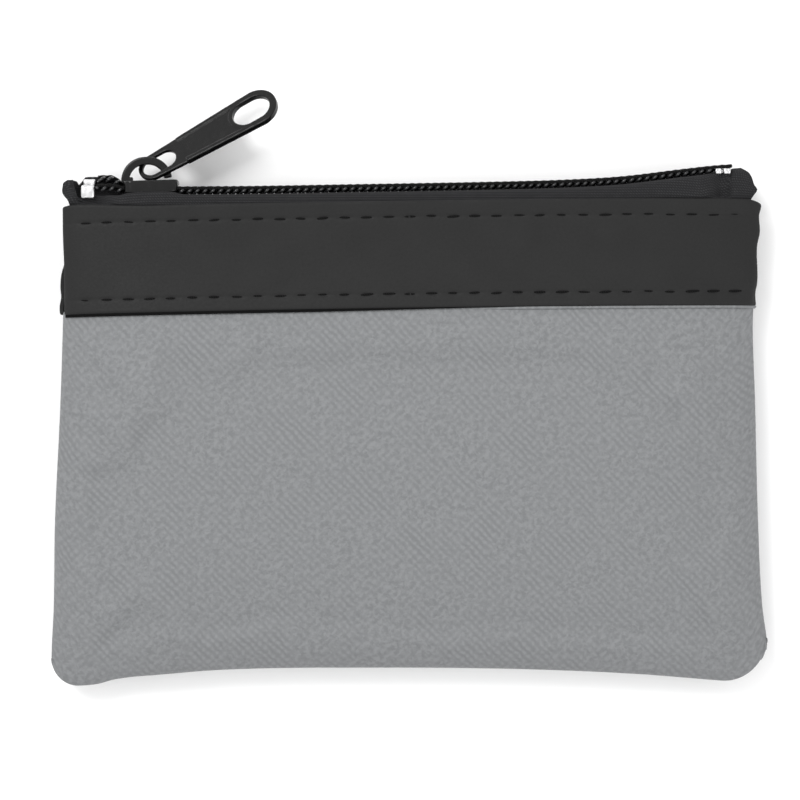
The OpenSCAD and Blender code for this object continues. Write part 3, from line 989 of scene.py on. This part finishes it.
def tape_section(x, front):
    """The tape's cross-section at x: up under the band, out to its shoulder, in to the chain."""
    sign = 1 if front else -1
    face = front_z if front else back_z
    top = high_y(x)
    chain = chain_y(x) - 0.5
    heights = np.array([TAPE_BOTTOM, TAPE_BOTTOM + 3, TAPE_BOTTOM + 6, top - 0.2])
    rises = np.array([top + 0.25 - chain, (top - chain) / 2, -0.4, -0.1, 0, 0])
    depths = np.minimum(JOINED_DEPTHS, mix(4.7, 1.9, end_share(x, 51, 56)))
    if front:
        rises = rises + SLIDER_RISES * slider_push(x)
    else:
        part = parting(x)
        rises = mix(rises, PARTED_RISES, part)
        depths = mix(depths, PARTED_DEPTHS, part)
    raised = end_rise(x)
    rises = mix(rises, STANDING_RISES * (1 if x < 0 else RIGHT_STAND), raised)
    rises = rises - NOTCH_DROPS * math.exp(-(((x - NOTCH_X) / NOTCH_HALF) ** 4))
    depths = mix(depths, STANDING_DEPTHS, raised)
    lower = [(y, face(x, y) - sign * SLACK) for y in heights]
    return np.array(lower + [(chain + up, SEAM_Z + sign * z) for up, z in zip(rises, depths)])


def slider_push(x):
    """1 where the slider gathers the tape up into its side slot, 0 away from it."""
    return math.exp(-(((x - SLIDER_X) / SLIDER_HALF) ** 6))


def end_rise(x):
    """0 along the chain, 1 beyond its stops, where the tape's ends stand up instead of turning in."""
    return float(ease((-59.6 - x) / 0.9) + ease((x - 57.4) / 0.9))


def along_section(points, m):
    """m points at even steps along a smooth curve through a section."""
    gaps = np.linalg.norm(np.diff(points, axis=0), axis=1)
    place = np.concatenate([[0], gaps.cumsum()])
    even = np.linspace(0, place[-1], m)
    return np.stack([through(list(zip(place, points[:, k])), even) for k in (0, 1)], axis=-1)


# (Y, distance) knots of how far each end of a tape stands out past TAPE_HALF
LEFT_END = [(33, -0.2), (41.6, 0.0), (42.5, 0.4), (43.6, 1.2), (44.7, 1.2), (45.6, 0.9), (46.3, -0.6)]
RIGHT_END = [
    (33, -0.1), (42.4, 0.05), (43.3, 0.65), (44.2, 1.15), (45.0, 0.6), (46.4, 0.1), (47.4, -0.6),
    (48.2, -1.9),
]
TAPE_HALF = 61.6


def tape_grid(front, n=281, m=44):
    """Points of a tape's outer face: one cross-section after another, gently waved."""
    columns = []
    for x in np.linspace(-TAPE_HALF, TAPE_HALF, n):
        section = along_section(tape_section(x, front), m)
        end = through(LEFT_END if x < 0 else RIGHT_END, section[:, 0])
        near = end_share(x, 57, TAPE_HALF)
        across = x + math.copysign(1, x) * end * near
        waves = 0.12 * ripple(across, section[:, 0], 3.5, 4.5 if front else 5.5) * (0.4 + near)
        columns.append(np.stack([across, section[:, 0], section[:, 1] + waves], axis=-1))
    return np.array(columns)


def coil_line(x, front):
    """Middle of one coil at x: its Y and Z."""
    part = parting(x)
    y = chain_y(x) + 0.1 + (0.7 if front else 2.4) * part
    z = SEAM_Z + (1.45 + 0.4 * part if front else -1.15 + 0.5 * part)
    return y, z


# One turn of the coil: half its height and its depth, and the wire's radius
COIL_HALF_H = 0.38
COIL_HALF_D = 1.45
WIRE_R = 0.31
COIL_START = -56.6
COIL_END = 55.2
FILLER_R = 0.3
SEWING_R = 0.27
# Height on the chain and depth of each row of the coil's sewing, and how far it runs past the coil
SEWING_ROWS = ((0.62, 0.6), (0.5, 1.35))
SEWING_PAST = 2.9


def coil_path(start, end, front):
    """The wire of one coil, wound round the line of the chain."""
    phase = 0 if front else math.pi
    x = np.arange(start, end, COIL_PITCH / 20)
    turn = 2 * math.pi * (x - COIL_START) / COIL_PITCH + phase
    y, z = coil_line(x, front)
    flat = softened(np.cos(turn), 0.75)
    lean = 0.22 * np.sin(turn)
    return np.stack([x + lean, y + COIL_HALF_H * np.sin(turn), z + COIL_HALF_D * flat], axis=-1)


def chain_line(start, end, front, up, depth, wave=0.0, step=0.35):
    """A cord or thread that runs along one coil."""
    x = np.arange(start, end + step / 2, step)
    y, z = coil_line(x, front)
    sway = np.sin(2 * math.pi * x / COIL_PITCH)
    sign = 1 if front else -1
    return np.stack([x, y + up + wave * sway, z + sign * depth + 1.6 * wave * sway], axis=-1)


def zip_side(front):
    """Pieces of one coil: the wire, the cord inside it and the sewing thread on it.

    Those of the front coil are in two halves, which meet at the middle.
    """
    name = "front" if front else "back"
    spans = [("", COIL_START, COIL_END)]
    if front:
        spans = [("_left", COIL_START, 0.0), ("_right", 0.0, COIL_END)]
    made = []
    for suffix, start, end in spans:
        turns = [coil_path(start, end, front)]
        wire = tubes_piece(name + "_coil_wire" + suffix, turns, WIRE_R, COIL, reference=(1, 0, 0))
        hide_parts(name + "_coil")
        inside = [chain_line(start, end, front, 0, FILLER_R)]
        core = tubes_piece(name + "_filler_cord" + suffix, inside, FILLER_R, BLACK_THREAD)
        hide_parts(name + "_coil_cord")
        past = end + SEWING_PAST * (end > 0)
        rows = [chain_line(start, past, front, *place, 0.04) for place in SEWING_ROWS]
        sewing = tubes_piece(name + "_coil_sewing" + suffix, rows, SEWING_R, BLACK_THREAD)
        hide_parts(name + "_coil_thread")
        made.append((wire, core, sewing))
    return made


def open_with_mouth(left, right):
    """Bakes the placement of the two halves of a front piece into their meshes."""
    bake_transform(left)
    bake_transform(right)


def dress_panels():
    """The two fabric panels, and the front one's rolled edge."""
    cloth = (FABRIC_T, FABRIC, FABRIC_LEVEL, FABRIC_FADE)
    left, right = two_halves("front_panel_cloth", front_panel_grid(241, 110), *cloth)
    ridge = tubes_piece("front_panel_ridge", [ridge_path()], RIDGE_R, FABRIC)
    for piece in (left, right, ridge):
        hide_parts("front_panel")
    open_with_mouth(left, right)
    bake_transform(ridge)
    back = one_sheet("back_panel_cloth", back_panel_grid(161, 70)[::-1], *cloth)
    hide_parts("back_panel")
    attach(back, "pouch")


def dress_bands():
    """The two bands, and the front one's turned-in hem."""
    halves = two_halves("front_band_trim", band_grid(True), BAND_T, BAND)
    hems = two_halves("front_band_hem", hem_grid(), HEM_T, PAINTED_SHADE_HEM)
    for piece in (*halves, *hems):
        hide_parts("front_band")
    open_with_mouth(*halves)
    open_with_mouth(*hems)
    back = one_sheet("back_band_trim", band_grid(False)[::-1], BAND_T, BAND)
    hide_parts("back_band")
    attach(back, "pouch")


def dress_tapes():
    """The two woven tapes of the zip."""
    left, right = two_halves("front_tape", tape_grid(True), TAPE_T, TAPE)
    for half in (left, right):
        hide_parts("front_zip_tape")
    open_with_mouth(left, right)
    back = one_sheet("back_tape", tape_grid(False)[::-1], TAPE_T, TAPE)
    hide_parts("back_zip_tape")
    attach(back, "pouch")


def dress_chain():
    """The two coils with their cords and threads."""
    left, right = zip_side(True)
    for one, other in zip(left, right):
        open_with_mouth(one, other)
    for piece in zip_side(False)[0]:
        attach(piece, "pouch")


def dress_stitches():
    """The upper and lower stitch row of each band."""
    for row, drop in STITCH_ROWS:
        whole = stitch_row(f"front_{row}_stitches", True, drop)
        left, right = halved(whole)
        for half in (left, right):
            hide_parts(f"front_{row}_stitching")
        open_with_mouth(left, right)
        back = stitch_row(f"back_{row}_stitches", False, drop)
        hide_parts(f"back_{row}_stitching")
        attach(back, "pouch")


def halved(whole):
    """Two pieces, left and right of the middle. A thread that crosses it is parted there."""
    halves = []
    for suffix, side in (("_left", -1), ("_right", 1)):
        half = whole.copy()
        half.data = whole.data.copy()
        half.name = whole.name + suffix
        work = bmesh.new()
        work.from_mesh(half.data)
        far = [v for v in work.verts if v.co.x * side < -1e-9]
        bmesh.ops.delete(work, geom=far, context="VERTS")
        work.to_mesh(half.data)
        work.free()
        halves.append(link(half))
    bpy.data.objects.remove(whole)
    return halves


def crimped_clip(name, spans, tall, deep):
    """Prongs pressed round the chain: rounded blocks, a little dented in the middle of each.

    spans are the first and last X of each prong, tall its lowest and highest Y, and deep the same
    for Z, from the plane of the seams.
    """
    rings, sides = 13, 24
    squareness = 0.45
    rounded, dent = 0.28, 0.12
    points, faces = [], []
    turns = np.linspace(0, 2 * math.pi, sides, endpoint=False)
    middle = np.array([sum(tall) / 2, SEAM_Z + sum(deep) / 2])
    half = np.array([tall[1] - tall[0], deep[1] - deep[0]]) / 2
    for number, (low, high) in enumerate(spans):
        for t in np.linspace(-1, 1, rings):
            inset = rounded * t**6 + dent * (1 - t * t)
            y = middle[0] + softened(np.cos(turns), squareness) * (half[0] - inset)
            z = middle[1] + softened(np.sin(turns), squareness) * (half[1] - inset)
            x = np.full(sides, mix(low, high, (t + 1) / 2))
            points.append(np.stack([x, y, z], axis=-1))
        first = sides * rings * number
        last = first + sides * (rings - 1)
        faces += [tuple(first + k for k in face) for face in loop_faces(rings, sides)]
        faces += [tuple(first + k for k in range(sides))[::-1], tuple(last + k for k in range(sides))]
    return make_piece(name, np.concatenate(points), faces, BRIGHT_METAL)


# Die-cast pieces: their new mesh's cells, the passes of smoothing, and the coat that makes up for them
CAST_VOXEL = 0.09
CAST_PASSES = 6
SLIDER_SWELL = 0.12
TAB_SWELL = 0.06
# The stops: each prong's first and last X, and the lowest and highest Y and depth
STOPS = (
    ("front_top_stop", [(-59.4, -56.95)], (42.4, 45.05), (1.0, 3.1)),
    ("back_top_stop", [(-59.2, -57.0)], (44.6, 46.3), (-2.6, -0.4)),
    ("bottom_stop", [(55.1, 56.25), (56.6, 57.9)], (46.7, 48.35), (-2.6, 3.1)),
)


def dress_metal():
    """The slider, its pull tab and the stops."""
    slider = rounded_copy("slider_body", "slider", BLACK_METAL, CAST_VOXEL, CAST_PASSES, SLIDER_SWELL)
    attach(slider, "slider")
    tab = rounded_copy("pull_tab", "pull", BLACK_METAL, CAST_VOXEL, CAST_PASSES, TAB_SWELL)
    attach(tab, "tab")
    for node, spans, tall, deep in STOPS:
        stop = crimped_clip(node + "_clip", spans, tall, deep)
        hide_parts(node)
        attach(stop, "pouch")


def dress_seam_stitches():
    """The seams inside the pouch stay as they are in the frame, in grey thread."""
    for node in ("left_seam_stitching", "right_seam_stitching", "bottom_seam_stitching"):
        frame["nodes"][node].data.materials.clear()
        frame["nodes"][node].data.materials.append(GREY_THREAD)


make_camera()
make_studio()
dress_panels()
dress_bands()
dress_tapes()
dress_chain()
dress_stitches()
dress_metal()
dress_seam_stitches()
